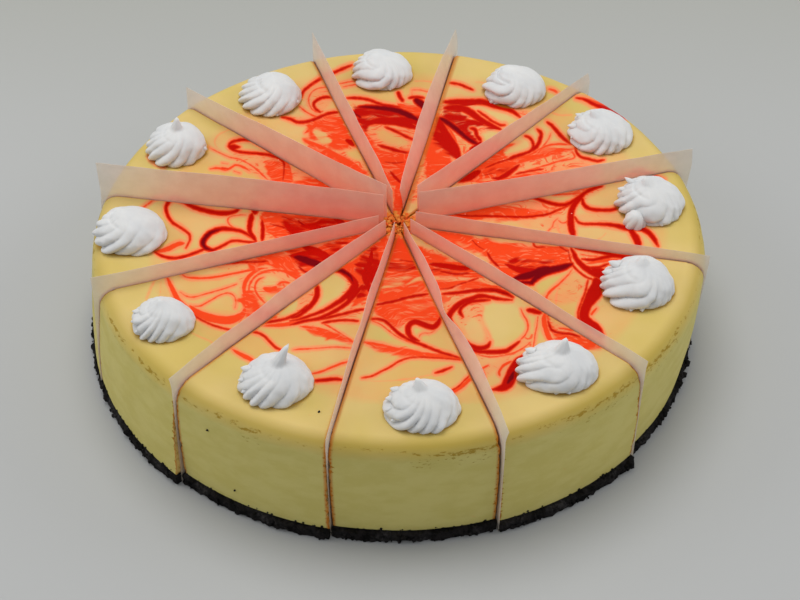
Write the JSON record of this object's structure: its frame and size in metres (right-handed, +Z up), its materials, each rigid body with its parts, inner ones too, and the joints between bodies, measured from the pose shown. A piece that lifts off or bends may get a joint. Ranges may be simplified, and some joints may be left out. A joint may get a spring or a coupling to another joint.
{
  "type": "baked cheesecake",
  "caption": "Round baked cheesecake on a dark crumb crust, cut into slices with a paper sheet in each cut and a piped cream rosette on each slice.",
  "frame": {"origin": "centre of the footprint's bounding box, on the surface that the cake rests on", "axes": "+Z up, +X to the right and +Y away from the viewer in the reference view; the cake's own axis stands 2.5 mm towards +X from the origin"},
  "size_m": [0.2552, 0.2522, 0.0706],
  "materials": {
    "filling": "smooth baked custard, pale yellow with a red fruit swirl on top, soft sheen",
    "crust": "pressed dark biscuit crumb, rough",
    "paper": "thin translucent baking paper, matt",
    "cream": "whipped cream, white, soft"
  },
  "bodies": {
    "root": {"filling_01": "filling", "filling_02": "filling", "filling_03": "filling", "filling_04": "filling", "filling_05": "filling", "filling_06": "filling", "filling_07": "filling", "filling_08": "filling", "filling_09": "filling", "filling_10": "filling", "filling_11": "filling", "filling_12": "filling", "crust_01": "crust", "crust_02": "crust", "crust_03": "crust", "crust_04": "crust", "crust_05": "crust", "crust_06": "crust", "crust_07": "crust", "crust_08": "crust", "crust_09": "crust", "crust_10": "crust", "crust_11": "crust", "crust_12": "crust", "paper_01": "paper", "paper_02": "paper", "paper_03": "paper", "paper_04": "paper", "paper_05": "paper", "paper_06": "paper", "paper_07": "paper", "paper_08": "paper", "paper_09": "paper", "paper_10": "paper", "paper_11": "paper", "paper_12": "paper", "cream_01": "cream", "cream_02": "cream", "cream_03": "cream", "cream_04": "cream", "cream_05": "cream", "cream_06": "cream", "cream_07": "cream", "cream_08": "cream", "cream_09": "cream", "cream_10": "cream", "cream_11": "cream", "cream_12": "cream"}
  },
  "joints": []
}
